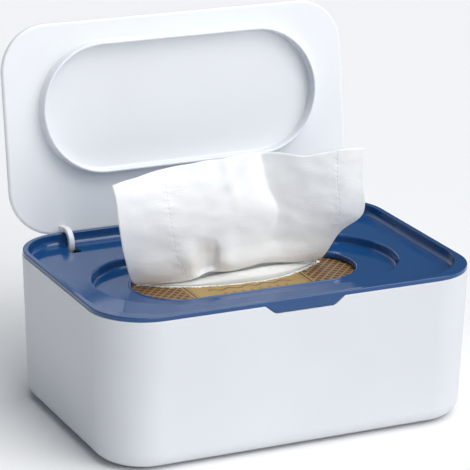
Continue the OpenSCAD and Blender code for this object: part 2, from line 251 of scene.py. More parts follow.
def pick(*pieces):
    deselectAll()
    for piece in pieces:
        piece.select_set(True)
    bpy.context.view_layer.objects.active = pieces[0]


def settle(piece):                              # its place goes into its mesh
    pick(piece)
    bpy.ops.object.transform_apply(location=True, rotation=True, scale=True)


cornerSteps = 18
pinSides = 48                                   # facets round the hinge's small cylinders
pastCut = 1                                     # how far a cutter runs past what it cuts, in mm
sharpBend = math.radians(50)                    # edges that turn by more than this are bevelled


def roundedLoop(width, depth, radius, y, z):    # a plane with rounded corners, left as a bare loop
    if isinstance(radius, tuple):               # rear corners, then front corners
        loop, front = (roundedLoop(width, depth, r, y, z) for r in radius)
        for vert, other in zip(loop.data.vertices, front.data.vertices):
            if other.co.y < y * mm:
                vert.co = other.co
        bpy.data.objects.remove(front)
        return loop
    widest = depth / 2 * 0.999                  # just under a half circle, so no two corners meet
    deselectAll()
    bpy.ops.mesh.primitive_plane_add(size=1, location=(0, y * mm, z * mm))
    loop = bpy.context.object
    loop.scale = (width * mm, depth * mm, 1)
    settle(loop)
    bpy.ops.object.mode_set(mode="EDIT")
    bpy.ops.mesh.select_all(action="SELECT")
    bpy.ops.mesh.bevel(offset=min(radius, widest) * mm, segments=cornerSteps,
                       affect="VERTICES", offset_type="OFFSET", profile=0.5)
    bpy.ops.mesh.delete(type="ONLY_FACE")
    bpy.ops.object.mode_set(mode="OBJECT")
    return loop


def skinned(name, sections, closed=False):      # joins rounded loops into one skin, in their order
    loops = [roundedLoop(*section) for section in sections]
    count = len(loops[0].data.vertices)
    piece = loops[0]
    spots = [[v.co.copy() for v in loop.data.vertices] for loop in loops]
    mesh = bmesh.new()
    rows = [[mesh.verts.new(spot) for spot in row] for row in spots]
    around = [tuple(e.vertices) for e in piece.data.edges]
    pairs = list(zip(rows, rows[1:])) + ([(rows[-1], rows[0])] if closed else [])
    for row, following in pairs:
        for a, b in around:
            mesh.faces.new((row[a], row[b], following[b], following[a]))
    mesh.to_mesh(piece.data)
    mesh.free()
    for loop in loops[1:]:
        bpy.data.objects.remove(loop)
    pick(piece)
    bpy.ops.object.mode_set(mode="EDIT")
    if not closed:
        bpy.context.tool_settings.mesh_select_mode = (False, True, False)
        for first in (True, False):             # caps the two ends
            bpy.ops.mesh.select_all(action="DESELECT")
            mesh = bmesh.from_edit_mesh(piece.data)
            for edge in mesh.edges:
                if edge.is_boundary and (edge.verts[0].index < count) == first:
                    edge.select_set(True)
            bmesh.update_edit_mesh(piece.data)
            bpy.ops.mesh.edge_face_add()
    bpy.ops.mesh.select_all(action="SELECT")
    bpy.ops.mesh.normals_make_consistent(inside=False)
    bpy.ops.object.mode_set(mode="OBJECT")
    piece.name = piece.data.name = name
    return piece


def arc(radius, first, last, steps=6):          # points on an arc, angles in degrees
    return [(radius * math.cos(math.radians(first + (last - first) * i / steps)),
             radius * math.sin(math.radians(first + (last - first) * i / steps)))
            for i in range(steps + 1)]


def modified(piece, kind, **settings):
    pick(piece)
    bpy.ops.object.modifier_add(type=kind)
    modifier = piece.modifiers[-1]
    for name, value in settings.items():
        setattr(modifier, name, value)
    bpy.ops.object.modifier_apply(modifier=modifier.name)


def carved(piece, cutter, operation="DIFFERENCE"):
    modified(piece, "BOOLEAN", operation=operation, object=cutter, solver="EXACT")
    bpy.data.objects.remove(cutter)


def block(low, high, softness=0.0, steps=2):    # a box from one corner to the other, in mm
    deselectAll()
    bpy.ops.mesh.primitive_cube_add(size=1, location=[(a + b) / 2 * mm for a, b in zip(low, high)])
    piece = bpy.context.object
    piece.scale = [(b - a) * mm for a, b in zip(low, high)]
    settle(piece)
    if softness:
        modified(piece, "BEVEL", width=softness * mm, segments=steps, limit_method="NONE")
    return piece


def barrel(x, y, z, radius, length):            # a cylinder that lies along x, in mm
    deselectAll()
    bpy.ops.mesh.primitive_cylinder_add(vertices=pinSides, radius=radius * mm, depth=length * mm,
                                        rotation=(0, math.pi / 2, 0), location=(x * mm, y * mm, z * mm))
    piece = bpy.context.object
    settle(piece)
    return piece


def finished(piece, material, body, replaced, angle=32):
    settle(piece)
    piece.data.materials.clear()
    piece.data.materials.append(material)
    bpy.ops.object.shade_smooth_by_angle(angle=math.radians(angle))
    modified(piece, "WEIGHTED_NORMAL", keep_sharp=True, weight=60)
    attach(piece, body)
    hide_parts(replaced)


bodySizes = {"width": 190, "depth": 131, "height": 73.4, "cornerRadius": 26, "draft": 2, "wall": 1.8,
             "stand": 0.8, "floor": 2.2, "footRadius": 8, "rim": 1.1, "rimDrop": 0.5, "seatDepth": 4.6,
             "seatEase": 0.3, "seatEdge": 0.2}
padSizes = {"x": 69, "y": 39.5, "pocketRadius": 6.15, "pocketDeep": 2.2, "pocketMiddle": 0.9, "sides": 64}
tabSizes = {"lowWidth": 28, "slope": 7, "round": 0.55, "recess": 0.3, "gap": 0.35, "edge": 0.45,
            "rear": -63.2, "notchFront": -66.5, "notchRear": -63.15, "steps": 10}
seatZ = bodySizes["height"] - bodySizes["seatDepth"]


def tabPrism(spare, front, rear, low, high):
    # a plane laid upright, cut into strips and drawn in to the tab's S-shaped ends
    t = tabSizes
    deselectAll()
    bpy.ops.mesh.primitive_plane_add(size=1)
    tab = bpy.context.object
    tab.scale = (1, (high - low) * mm, 1)
    settle(tab)
    mesh = bmesh.new()
    mesh.from_mesh(tab.data)
    sides = [edge for edge in mesh.edges if abs(edge.verts[0].co.x - edge.verts[1].co.x) < 1e-9]
    bmesh.ops.subdivide_edges(mesh, edges=sides, cuts=t["steps"])
    for vert in mesh.verts:
        z = low + (vert.co.y / mm + (high - low) / 2)
        share = min(max((z - seatZ) / bodySizes["seatDepth"], 0), 1)
        swell = math.asin(2 * share - 1) / math.pi + 0.5    # the S lies flat at both of its ends
        half = t["lowWidth"] / 2 + spare + t["slope"] * (t["round"] * swell + (1 - t["round"]) * share)
        vert.co = Vector((math.copysign(half, vert.co.x) * mm, rear * mm, z * mm))
    mesh.to_mesh(tab.data)
    mesh.free()
    pick(tab)
    bpy.ops.object.mode_set(mode="EDIT")
    bpy.ops.mesh.select_all(action="SELECT")
    bpy.ops.mesh.extrude_region_move(TRANSFORM_OT_translate={"value": (0, (front - rear) * mm, 0)})
    bpy.ops.mesh.select_all(action="SELECT")
    bpy.ops.mesh.normals_make_consistent(inside=False)
    bpy.ops.object.mode_set(mode="OBJECT")
    return tab


def makeBody():
    s = bodySizes
    slope = s["draft"] / (s["height"] - s["stand"])

    def section(inset, z):
        return (s["width"] - 2 * inset, s["depth"] - 2 * inset, s["cornerRadius"] - inset, 0, z)

    foot = s["footRadius"]
    outer = [section(s["draft"] + foot - dx, s["stand"] + foot - dz) for dz, dx in arc(foot, 0, 90, 10)]
    half = s["rim"] / 2
    rim = [section(half - dx, s["height"] - s["rimDrop"] - half + dz) for dx, dz in arc(half, 0, 180, 8)]
    wallAtSeat = s["wall"] + slope * s["seatDepth"]
    inFoot = foot - s["wall"]
    floorZ = s["stand"] + s["floor"]
    ledge = [section(s["rim"], seatZ + s["seatEase"]), section(s["rim"] + s["seatEase"], seatZ),
             section(wallAtSeat - s["seatEdge"], seatZ), section(wallAtSeat, seatZ - s["seatEdge"])]
    inner = [section(s["draft"] + s["wall"] + inFoot - dx, floorZ + inFoot - dz)
             for dx, dz in arc(inFoot, 0, 90, 8)]
    body = skinned("bodyShell", outer + rim + ledge + inner)
    notch = tabPrism(tabSizes["gap"], tabSizes["notchFront"], tabSizes["notchRear"], seatZ,
                     s["height"] + pastCut)
    carved(body, notch)
    p = padSizes
    for x in (-p["x"], p["x"]):
        for y in (-p["y"], p["y"]):             # a pocket for each pad
            deselectAll()
            bpy.ops.mesh.primitive_cylinder_add(vertices=p["sides"], radius=p["pocketRadius"] * mm,
                                                depth=p["pocketDeep"] * mm,
                                                location=(x * mm, y * mm, p["pocketMiddle"] * mm))
            carved(body, bpy.context.object)
    finished(body, shadedTubWhite, "base", "body")


makeBody()
print("body made")


coverSizes = {"width": 187.3, "depth": 128.3, "cornerRadius": 24.65, "top": 75.0, "skirt": 68.9,
              "lip": 1.5, "edge": 0.45, "basin": 69.6, "under": 67.6, "plateInset": 0.86,
              "flange": 1.1, "flangeLow": 73.0, "flangeEdge": 0.15, "skirtEdge": 0.2,
              "innerCorners": (23.15, 33), "basinFillet": 2.6, "wellFillet": 1.3, "wellEdge": 1.1}
wellSizes = {"width": 152, "depth": 73, "y": -3.4, "floor": 64.9, "under": 62.9, "wall": 2, "edge": 0.4}
openingSizes = {"width": 113, "depth": 43, "y": -1, "bead": 1.5, "rise": 0.5, "foot": 0.35}
hinge = {"y": 61.2824, "z": 65.5, "armX": 65.2, "armThick": 3, "band": 2.6, "neckY": 49.932,
         "soft": 0.7, "tenon": 1.4, "join": 0.01, "bendSteps": 28, "hubRadius": 1.9, "hubWidth": 4.4,
         "hubEdge": 0.3, "slotFront": 48.232, "slotRear": 62.95, "slotWidth": 4.8, "cheek": 2,
         "cheekRoot": 0.5}


def makeCover():
    s, w, o = coverSizes, wellSizes, openingSizes

    def lipSection(inset, z):
        return (s["width"] - 2 * inset, s["depth"] - 2 * inset, s["cornerRadius"] - inset, 0, z)

    def innerSection(inset, z):                 # the lip's inner side
        out = s["lip"] + inset
        corners = tuple(radius - inset for radius in s["innerCorners"])
        return (s["width"] - 2 * out, s["depth"] - 2 * out, corners, 0, z)

    def wellSection(out, z):
        return (w["width"] + 2 * out, w["depth"] + 2 * out, w["depth"] / 2 + out, w["y"], z)

    def openSection(out, z):
        return (o["width"] + 2 * out, o["depth"] + 2 * out, o["depth"] / 2 + out, o["y"], z)

    e, bead = s["edge"], o["bead"] / 2
    beadZ = w["floor"] + o["rise"] - bead
    sections = [openSection(0, w["under"])]
    sections += [openSection(bead - dx, beadZ + dz) for dx, dz in arc(bead, 0, 150, 8)]
    sections += [openSection(o["bead"] + o["foot"], w["floor"])]
    f = s["wellFillet"]
    sections += [wellSection(-f + dz, w["floor"] + f - dx) for dx, dz in arc(f, 0, 90)]
    f = s["wellEdge"]
    sections += [wellSection(f - dx, s["basin"] - f + dz) for dx, dz in arc(f, 0, 90)]
    f = s["basinFillet"]
    sections += [innerSection(f - dz, s["basin"] + f - dx) for dx, dz in arc(f, 0, 90)]
    sections += [innerSection(dx - e, s["top"] - e + dz) for dx, dz in arc(e, 0, 90)]
    sections += [lipSection(e - dz - s["flange"], s["top"] - e + dx) for dx, dz in arc(e, 0, 90)]
    f = s["flangeEdge"]
    sections += [lipSection(-s["flange"], s["flangeLow"] + f), lipSection(f - s["flange"], s["flangeLow"]),
                 lipSection(0, s["flangeLow"])]
    f = s["skirtEdge"]
    sections += [lipSection(0, s["skirt"] + f), lipSection(f, s["skirt"]),
                 lipSection(s["plateInset"], s["skirt"]), lipSection(s["plateInset"], s["under"])]
    f = w["edge"]
    sections += [wellSection(w["wall"], s["under"]), wellSection(w["wall"], w["under"] + f),
                 wellSection(w["wall"] - f, w["under"])]
    cover = skinned("topCover", sections, closed=True)
    for side in (-1, 1):
        x = side * hinge["armX"]
        half = hinge["slotWidth"] / 2
        carved(cover, block((x - half, hinge["slotFront"], s["under"] - pastCut),
                            (x + half, hinge["slotRear"], s["top"] + pastCut)))
        for cheek in (-1, 1):                   # the two lugs that hold the pin
            near = x + cheek * half
            far = near + cheek * hinge["cheek"]
            lug = block((min(near, far), hinge["y"] - hinge["hubRadius"], hinge["z"]),
                        (max(near, far), hinge["y"] + hinge["hubRadius"], s["under"] + hinge["cheekRoot"]))
            boss = barrel((near + far) / 2, hinge["y"], hinge["z"], hinge["hubRadius"], hinge["cheek"])
            carved(lug, boss, "UNION")
            pick(cover, lug)
            bpy.ops.object.join()
    tab = tabPrism(0, -bodySizes["depth"] / 2 + tabSizes["recess"], tabSizes["rear"], s["skirt"],
                   s["top"] - s["edge"])
    modified(tab, "BEVEL", width=tabSizes["edge"] * mm, segments=4, limit_method="ANGLE",
             angle_limit=sharpBend)
    pick(cover, tab)
    bpy.ops.object.join()
    finished(cover, blue, "cover", "top_cover")


makeCover()
print("cover made")


lidSizes = {"width": 181.4, "depth": 102.5, "cornerRadius": 23, "low": 71.6, "high": 74.6, "edge": 1.4,
            "rear": 52.932, "open": 98.4, "capInset": 14}
ringSizes = {"width": 146.2, "depth": 64, "y": -7, "wall": 1.8, "low": 66.4, "fillet": 0.8,
             "edge": 0.6}


def turnOpen(piece):                            # from the closed place to the open one
    settle(piece)
    pivot = Vector((0, hinge["y"] * mm, hinge["z"] * mm))
    turn = Matrix.Rotation(math.radians(-lidSizes["open"]), 4, "X")
    piece.matrix_world = Matrix.Translation(pivot) @ turn @ Matrix.Translation(-pivot)
    settle(piece)


def makeLid():
    s, g = lidSizes, ringSizes
    y = s["rear"] - s["depth"] / 2

    def plate(inset, z):
        return (s["width"] - 2 * inset, s["depth"] - 2 * inset, s["cornerRadius"] - inset, y, z)

    def ring(out, z):
        return (g["width"] + 2 * out, g["depth"] + 2 * out, g["depth"] / 2 + out, g["y"], z)

    e, f, c = s["edge"], g["fillet"], g["edge"]
    sections = [plate(s["capInset"], s["high"])]
    sections += [plate(e - dx, s["high"] - e + dz) for dz, dx in arc(e, 0, 90)]
    sections += [plate(e - dx, s["low"] + e - dz) for dx, dz in arc(e, 0, 90)]
    sections += [ring(f - dz, s["low"] - f + dx) for dx, dz in arc(f, 0, 90)]
    sections += [ring(-c + dx, g["low"] + c - dz) for dx, dz in arc(c, 0, 90, 4)]
    sections += [ring(-g["wall"] + c - dz, g["low"] + c - dx) for dx, dz in arc(c, 0, 90, 4)]
    sections += [ring(-g["wall"] - f + dx, s["low"] - f + dz) for dx, dz in arc(f, 0, 90)]
    sections += [ring(-g["wall"] - s["capInset"], s["low"])]
    lid = skinned("lidPanel", sections)
    turnOpen(lid)
    finished(lid, litLidWhite, "lid", "lid")


makeLid()


def makeArm(side, node):                        # a bar spun into a gooseneck, its neck and its hub
    h = hinge
    x, half = side * h["armX"], h["armThick"] / 2
    centre = (h["neckY"] + h["y"]) / 2
    deselectAll()
    bpy.ops.mesh.primitive_plane_add(size=1, location=(x * mm, h["neckY"] * mm, h["z"] * mm))
    arm = bpy.context.object
    arm.scale = (h["armThick"] * mm, h["band"] * mm, 1)
    settle(arm)
    bpy.ops.object.mode_set(mode="EDIT")
    bpy.ops.mesh.select_all(action="SELECT")
    bpy.ops.mesh.bevel(offset=h["soft"] * mm, segments=4, affect="VERTICES")
    bpy.ops.mesh.spin(steps=h["bendSteps"], angle=-math.pi, center=(x * mm, centre * mm, h["z"] * mm),
                      axis=(1, 0, 0), use_auto_merge=False)     # half a turn, under the pin
    bpy.ops.object.mode_set(mode="OBJECT")
    neck = block((x - half, h["neckY"] - h["band"] / 2, h["z"] - h["join"]),
                 (x + half, h["neckY"] + h["band"] / 2, lidSizes["low"] + h["tenon"]), h["soft"], 4)
    hub = barrel(x, h["y"], h["z"], h["hubRadius"], h["hubWidth"])
    modified(hub, "BEVEL", width=h["hubEdge"] * mm, segments=3, limit_method="ANGLE",
             angle_limit=sharpBend)
    pick(arm, neck, hub)
    bpy.ops.object.join()
    bpy.ops.object.mode_set(mode="EDIT")
    bpy.ops.mesh.select_all(action="SELECT")
    bpy.ops.mesh.normals_make_consistent(inside=False)
    bpy.ops.object.mode_set(mode="OBJECT")
    arm.name = arm.data.name = "gooseneck" + ("Left" if side < 0 else "Right")
    turnOpen(arm)
    finished(arm, litLidWhite, "lid", node)


makeArm(-1, "hinge_arm_left")
makeArm(1, "hinge_arm_right")
print("lid and hinge arms made")


def dress(node, material):
    piece = nodes[node]
    piece.data.materials.clear()
    piece.data.materials.append(material)


dress("lid_seal", silicone)
for corner in ("front_left", "front_right", "rear_left", "rear_right"):
    dress("foot_" + corner, padRubber)
for side in ("left", "right"):
    dress("hinge_pin_" + side, steel)


clothLook = {"light": tint(0.920, 0.920, 0.910), "dark": tint(0.890, 0.892, 0.890),
             "shadedLight": tint(0.815, 0.822, 0.785), "shadedDark": tint(0.780, 0.786, 0.755),   # darker and a little yellower: painted shade on the next wipe, down in the slot
             "rough": 0.85, "fibre": 1400, "fuzz": 320, "sheen": 0.2, "glow": 0.4, "glowDepth": 0.001,
             "dotEvery": 0.021, "dotColumns": (0.262, 1.14), "dotWidth": 0.0065,
             "creases": (5.0, 26.0, 1.0), "creaseTurn": 0.25, "creasePatches": 38}


def wovenCloth(name, light, dark):              # pressed dots and creases follow the cloth's own map
    material, shader, start, place = paint(name)
    k = clothLook
    flat = start.node("ShaderNodeUVMap", {"uv_map": "clothMap"})
    across, up = axisOf(start, flat, 0), axisOf(start, flat, 1)
    fibre = speckle(start, place, k["fibre"], 4, 0.7)
    fuzz = speckle(start, place, k["fuzz"], 3, 0.6)
    drawn = start.node("ShaderNodeMapping", None, {"Vector": flat, "Scale": k["creases"],
                                                   "Rotation": (0, 0, k["creaseTurn"])})
    crease = speckle(start, drawn, 1.0, 3, 0.55)
    ridge = 1.0 - (crease - 0.5).absolute().over(0.0, 0.06)
    ridge = ridge * speckle(start, place, k["creasePatches"], 2).over(0.42, 0.68)
    along = (up / k["dotEvery"]).fromMiddle()
    dots = None
    for column in k["dotColumns"]:              # two rows of small pressed points
        wide = (across - column) / k["dotWidth"]
        spot = 1.0 - (wide * wide + along * along * 9.0).over(0.25, 1.0)
        dots = spot if dots is None else dots.larger(spot)
    # The pressed points also darken the colour: painted shade in their dents.
    tone = fuzz.over(0.3, 0.75) * 0.8 + dots * 0.5
    feed(shader, Base_Color=tone.mix(light, dark), Roughness=k["rough"] + 0.1 * fibre,
         Normal=bump(start, fibre * 0.3 + fuzz * 0.3 + ridge * 0.7 - dots * 2.0, 0.0001, 0.6))
    feed(shader, Sheen_Weight=k["sheen"], Subsurface_Weight=k["glow"], Subsurface_Radius=(1.0, 1.0, 1.0),
         Subsurface_Scale=k["glowDepth"])
    return material


filmLook = {"gold": tint(0.325, 0.205, 0.060), "pale": tint(0.365, 0.240, 0.078),
            "brown": tint(0.085, 0.028, 0.017), "ink": tint(0.012, 0.011, 0.014),
            "torn": tint(0.84, 0.82, 0.77), "tornWidth": 0.9, "rough": 0.34, "ior": 1.45,
            "middle": -1.0, "fieldFrom": 31.5, "lattice": 4.6, "ruleIn": 1.5, "thinRuleIn": 3.0,
            "waveY": -8.6, "wave": 9.0, "swing": 1.1, "waveEnds": 21.0,
            "seedY": -14.0, "seedEvery": 4.5, "seedSize": 0.9, "seedEnds": 18.0}


def printedFilm():                              # gold film with a plain lattice at both ends, worked in mm
    material, shader, start, place = paint("printedFilm")
    k = filmLook
    x, y, z = (axisOf(start, place, i) * 1000.0 for i in range(3))
    girth = y + z                               # runs over the top and down the sides
    apart = (x - k["middle"]).absolute()
    field = apart.over(k["fieldFrom"] - 0.1, k["fieldFrom"] + 0.1)
    slants = [(slant / k["lattice"]).fromMiddle() for slant in (x + girth, x - girth)]
    lattice = slants[0].larger(slants[1]).over(0.36, 0.41)
    rule = 1.0 - (apart - (k["fieldFrom"] - k["ruleIn"])).absolute().over(0.35, 0.5)
    thinRule = 1.0 - (apart - (k["fieldFrom"] - k["thinRuleIn"])).absolute().over(0.1, 0.22)
    turns = x * (2 * math.pi / k["wave"])
    wave = (y - k["waveY"] + k["swing"] * turns.math("SINE", turns)).absolute()
    vine = (1.0 - wave.over(0.32, 0.52)) * (1.0 - apart.over(k["waveEnds"], k["waveEnds"] + 0.2))
    seed = (x / k["seedEvery"]).fromMiddle() * k["seedEvery"] + (y - k["seedY"]).absolute()
    seeds = 1.0 - seed.over(k["seedSize"], k["seedSize"] + 0.2)
    seeds = seeds * (1.0 - apart.over(k["seedEnds"], k["seedEnds"] + 0.2))
    cloud = speckle(start, place, 60, 3)
    wrinkle = speckle(start, place, 260, 4, 0.6)
    gold = cloud.over(0.3, 0.7).mix(k["gold"], k["pale"])
    colour = field.mix(gold, lattice.mix(k["brown"], k["gold"]))
    colour = rule.larger(vine).mix(colour, k["ink"])
    colour = (thinRule.larger(seeds) * 0.85).mix(colour, k["brown"])
    fromTear = axisOf(start, start.node("ShaderNodeUVMap", {"uv_map": "tearMap"}), 1) * 1000.0
    fray = speckle(start, place, 620, 4, 0.75)
    torn = 1.0 - (fromTear + (fray - 0.5) * 4.0).over(k["tornWidth"] - 0.2, k["tornWidth"] + 0.2)
    feed(shader, Base_Color=torn.mix(colour, k["torn"]), IOR=k["ior"],
         Roughness=k["rough"] + 0.12 * cloud + 0.3 * torn,
         Normal=bump(start, wrinkle + 0.5 * cloud, 0.00012, 0.35))
    return material


cloth = wovenCloth("embossedNonwoven", clothLook["light"], clothLook["dark"])
# The next wipe's cloth is darker than the pulled wipe's: painted shade.
shadedCloth = wovenCloth("shadedNonwoven", clothLook["shadedLight"], clothLook["shadedDark"])
film = printedFilm()


creaseSharp = 0.8                               # 0 runs smoothly on, 1 breaks fully


def through(knots, points, at, crease=None):    # a smooth curve through points, sharp at the crease
    i = 0
    while i < len(knots) - 2 and at > knots[i + 1]:
        i += 1

    def slope(j, axis):
        if j == 0 or j == len(knots) - 1:
            first, second = (0, 1) if j == 0 else (j - 1, j)
            return (points[second][axis] - points[first][axis]) / (knots[second] - knots[first])
        before, after = knots[j] - knots[j - 1], knots[j + 1] - knots[j]
        rise = (points[j][axis] - points[j - 1][axis]) / before
        run = (points[j + 1][axis] - points[j][axis]) / after
        smooth = (rise * after + run * before) / (before + after)
        if j == crease:
            return (1 - creaseSharp) * smooth + creaseSharp * (run if j == i else rise)
        return smooth

    span = knots[i + 1] - knots[i]
    t = min(max((at - knots[i]) / span, 0), 1)
    a, b = 2 * t ** 3 - 3 * t ** 2 + 1, t ** 3 - 2 * t ** 2 + t
    return tuple(a * points[i][k] + b * span * slope(i, k) + (1 - a) * points[i + 1][k]
                 + (t ** 3 - t ** 2) * span * slope(i + 1, k) for k in range(len(points[0])))


def bulge(value, centre, spread):
    return math.exp(-((value - centre) / spread) ** 2)


def ease(value, low, high):
    t = min(max((value - low) / (high - low), 0), 1)
    return t * t * (3 - 2 * t)


def atDepth(x, z, y):                           # what shows at x, z on the plane y = 0, moved to depth y
    eye = cameraPlace / mm
    return eye + (Vector((x, 0, z)) - eye) * ((y - eye.y) / -eye.y)


def asSeen(point):                              # the other way: x and z on the plane y = 0, with its own y
    eye = cameraPlace / mm
    seen = eye + (Vector(point) - eye) * (-eye.y / (point[1] - eye.y))
    return (seen.x, point[1], seen.z)


clothScale = 0.01                               # the cloth's map counts tenths of a metre


def gridPiece(name, rows, mapped, layerName):   # a sheet of quads from rows of points, in mm
    mesh = bmesh.new()
    layer = mesh.loops.layers.uv.new(layerName)
    grid = [[mesh.verts.new(Vector(point) * mm) for point in row] for row in rows]
    for j in range(len(rows) - 1):
        for i in range(len(rows[0]) - 1):
            face = mesh.faces.new((grid[j][i], grid[j][i + 1], grid[j + 1][i + 1], grid[j + 1][i]))
            for loop, (a, b) in zip(face.loops, ((i, j), (i + 1, j), (i + 1, j + 1), (i, j + 1))):
                loop[layer].uv = mapped(a, b)
    data = bpy.data.meshes.new(name)
    mesh.to_mesh(data)
    mesh.free()
    piece = bpy.data.objects.new(name, data)
    bpy.context.scene.collection.objects.link(piece)
    pick(piece)
    bpy.ops.object.shade_smooth()
    return piece


# The pulled wipe's levels, from its foot up. The tucked ones are x, y, z. The others, up to the cut
# top edge, are x and z as seen on the plane y = 0, and a depth.
wipeSheet = {
    "thick": 0.28, "columns": 190, "crease": 5, "foldsFrom": 5, "cutFrom": 50, "cutWander": 0.35,
    "across": [0, 26, 43, 59, 71, 78, 87, 100, 115, 131],
    "up": [-8, -3.5, 0, 11, 25, 38, 54], "rowsBetween": [8, 8, 18, 18, 16, 18],
    "tuck": [[(-44, 9.5, 61.95), (-39, 9.3, 61.95), (-28, 9, 61.95), (-16, 8.6, 61.95), (-4, 8.4, 61.95),
              (6, 8.4, 61.95), (15, 8.6, 61.95), (23, 8.8, 61.95), (32, 9.2, 61.95), (39, 9.6, 61.95)],
             [(-48.5, 10.2, 63.3), (-41.5, 9.6, 63.2), (-29, 8.6, 63.4), (-17, 8, 65.4), (-3.5, 7.6, 65.2),
              (9, 8.6, 65.6), (18.5, 9, 65.1), (27.5, 9.4, 64.3), (36, 10.2, 63.6), (42.5, 10.9, 63.2)]],
    "levels": [
        [(-56.2, 67.9, 8.0), (-34, 65.9, 5.0), (-26, 66.3, 3.6), (-16.5, 68.8, 2.8), (-4, 67.8, 2),
         (9, 69.6, 3.8), (18, 69.0, 4), (26, 68.0, 4.6), (34, 67.8, 6.0), (40.4, 67.7, 7.6)],
        [(-60.9, 80, 0.4), (-35.5, 80, 0.6), (-25, 80, 0.8), (-11, 80, 1.0), (3, 80, 1.6),
         (14.4, 80.5, 3.6), (24, 79, 1.6), (35, 78.5, 0.2), (46, 79.5, -0.4), (50.5, 79.5, 0.6)],
        [(-63.8, 96, -4.2), (-38.3, 96, -1.4), (-24, 95.5, -0.2), (-8, 95, 0.8), (9.5, 95, 2.4),
         (17.4, 95, 4.4), (26, 94, 1.2), (38, 92, -3.0), (51, 90.5, -5.8), (63.2, 88, -6.4)],
        [(-65.4, 109, -5), (-40.5, 109.5, -0.5), (-25, 109, 1.8), (-8.5, 108.5, 2.6), (4.5, 107.5, 3.8),
         (12.2, 106.5, 6.4), (21, 105, 2.8), (34, 104, -2.4), (49.5, 104.5, -6.4), (62.9, 104, -7.4)],
        [(-67.4, 116.8, -4), (-41.7, 121.9, 3), (-24.8, 123.1, 5.6), (-9.5, 123.7, 6.8), (2, 124.1, 7.2),
         (7.5, 124.2, 9), (17.4, 123.3, 5.0), (30.4, 120.2, -0.6), (49, 121, -6.0), (62.6, 120.6, -7.4)]]}


# Small dents of the pulled wipe: depth, middle and spread across, middle and spread up
wipeDents = [(1.0, -44, 8, 83, 4.5), (-0.8, -52, 6, 76, 5), (-1.6, -29, 5, 77, 7), (-1.3, -9, 4, 75, 9)]
pocket = {"deep": 5.5, "left": (-28, -19), "right": (-15.6, -12.2), "foot": (60, 64), "sinksTo": 66,
          "archX": -21, "archTop": 84.5, "archFall": 0.33, "archLip": 2}
waves = {"slant": 0.7, "broad": 0.8, "fine": 0.32, "seam": 0.28}


def wipeFolds(x, z):                            # smaller folds, as a change of depth
    y = sum(deep * bulge(x, atX, wide) * bulge(z, atZ, tall) for deep, atX, wide, atZ, tall in wipeDents)
    p = pocket
    top = p["archTop"] - p["archFall"] * max(x - p["archX"], 0)     # the arch falls to the right
    sunk = min(max((top + p["archLip"] - z) / (top - p["sinksTo"]), 0), 1)
    y += p["deep"] * ease(x, *p["left"]) * (1 - ease(x, *p["right"])) * sunk * ease(z, *p["foot"])
    y -= waves["slant"] * bulge(x, -9.5 + 0.25 * (120 - z), 3.2) * ease(z, 88, 112)
    y += waves["slant"] * bulge(x - 0.9 * (z - 100), -14, 5) * ease(z, 84, 100)
    y += waves["broad"] * noise.noise(Vector((x * 0.045, z * 0.06, 3.1)))
    y += waves["fine"] * noise.noise(Vector((x * 0.11 + z * 0.04, z * 0.18, 7.7)))
    seam = bulge(x, -42 + 0.17 * (121 - z), 3) + bulge(x, 48, 4)    # the cloth puckers at its pressed rows
    return y + seam * waves["seam"] * noise.noise(Vector((x * 0.25, z * 0.6, 1.3)))


def makeWipe():
    s = wipeSheet
    heights = []
    for first, second, count in zip(s["up"], s["up"][1:], s["rowsBetween"]):
        heights += [first + (second - first) * i / count for i in range(count)]
    heights.append(s["up"][-1])
    widths = [s["across"][-1] * i / s["columns"] for i in range(s["columns"] + 1)]
    levels = [[asSeen(through(s["across"], level, a)) for a in widths] for level in s["tuck"]]
    for level in s["levels"]:
        seen = [through(s["across"], level, a, s["crease"]) for a in widths]
        levels.append([(x, y, z) for x, z, y in seen])
    rows = []
    for up in heights:
        row = []
        for i in range(len(widths)):
            x, y, z = through(s["up"], [level[i] for level in levels], up)
            y += wipeFolds(x, z) * ease(up, 0, s["foldsFrom"])
            cut = noise.noise(Vector((x * 0.12, 0, 5))) * ease(up, s["cutFrom"], s["up"][-1])
            row.append(atDepth(x, z + s["cutWander"] * cut, y))
        rows.append(row)
    wipe = gridPiece("pulledWipe", rows, lambda i, j: (widths[i] * clothScale, heights[j] * clothScale),
                     "clothMap")
    print("pulled wipe's area: %.6f m2" % sum(face.area for face in wipe.data.polygons))
    modified(wipe, "SOLIDIFY", thickness=s["thick"] * mm, offset=0)
    wipe.data.materials.append(cloth)
    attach(wipe, "wipe")
    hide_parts("dispensed_wipe")
    return wipe


pulledWipe = makeWipe()
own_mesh(pulledWipe)
print("pulled wipe made")


# The torn slot of the packet, x and y, and the flap of the next wipe that stands up in it
tear = {"front": [(-49.5, 12.3), (-44, 9.2), (-36, 5), (-22.4, -0.4), (-8.3, -3.4), (2, -4.2), (11, -4.1),
                  (20, -1.9), (28.6, 1.6), (36, 5.6), (44, 10)],
        "rear": [(44.6, 12), (41, 13.9), (20, 14.2), (-8, 13.8), (-30, 14.3), (-45, 14)],
        "ragged": 0.7, "steps": 12}
nextSheet = {"thick": 0.28, "columns": 130, "across": [0, 6.5, 15.5, 30, 44, 54.5, 63.5, 73, 82.5, 91, 100],
             "rear": [(-47, 12.6, 62.6), (-43.5, 11, 62.75), (-36, 9, 62.95), (-23, 6, 63.9),
                      (-9.5, 4.6, 65.9), (1, 3.8, 66.2), (11, 4.2, 66.2), (20, 5.2, 65.6),
                      (29, 6.8, 64.6), (36, 9, 63.6), (42.5, 11.4, 62.7)],
             "profile": [(-0.2, 0.0), (-0.1, 0.25), (0.02, 0.5), (0.13, 0.72), (0.3, 0.88), (0.5, 0.97),
                         (0.7, 1.01), (0.86, 1.0), (1.0, 0.95)],     # shares of the way back and up
             "foot": 61.75, "narrowed": 0.985, "behindTear": 0.9, "footBack": 0.4, "wander": 0.5,
             "sag": 0.25, "rowMap": 0.014}


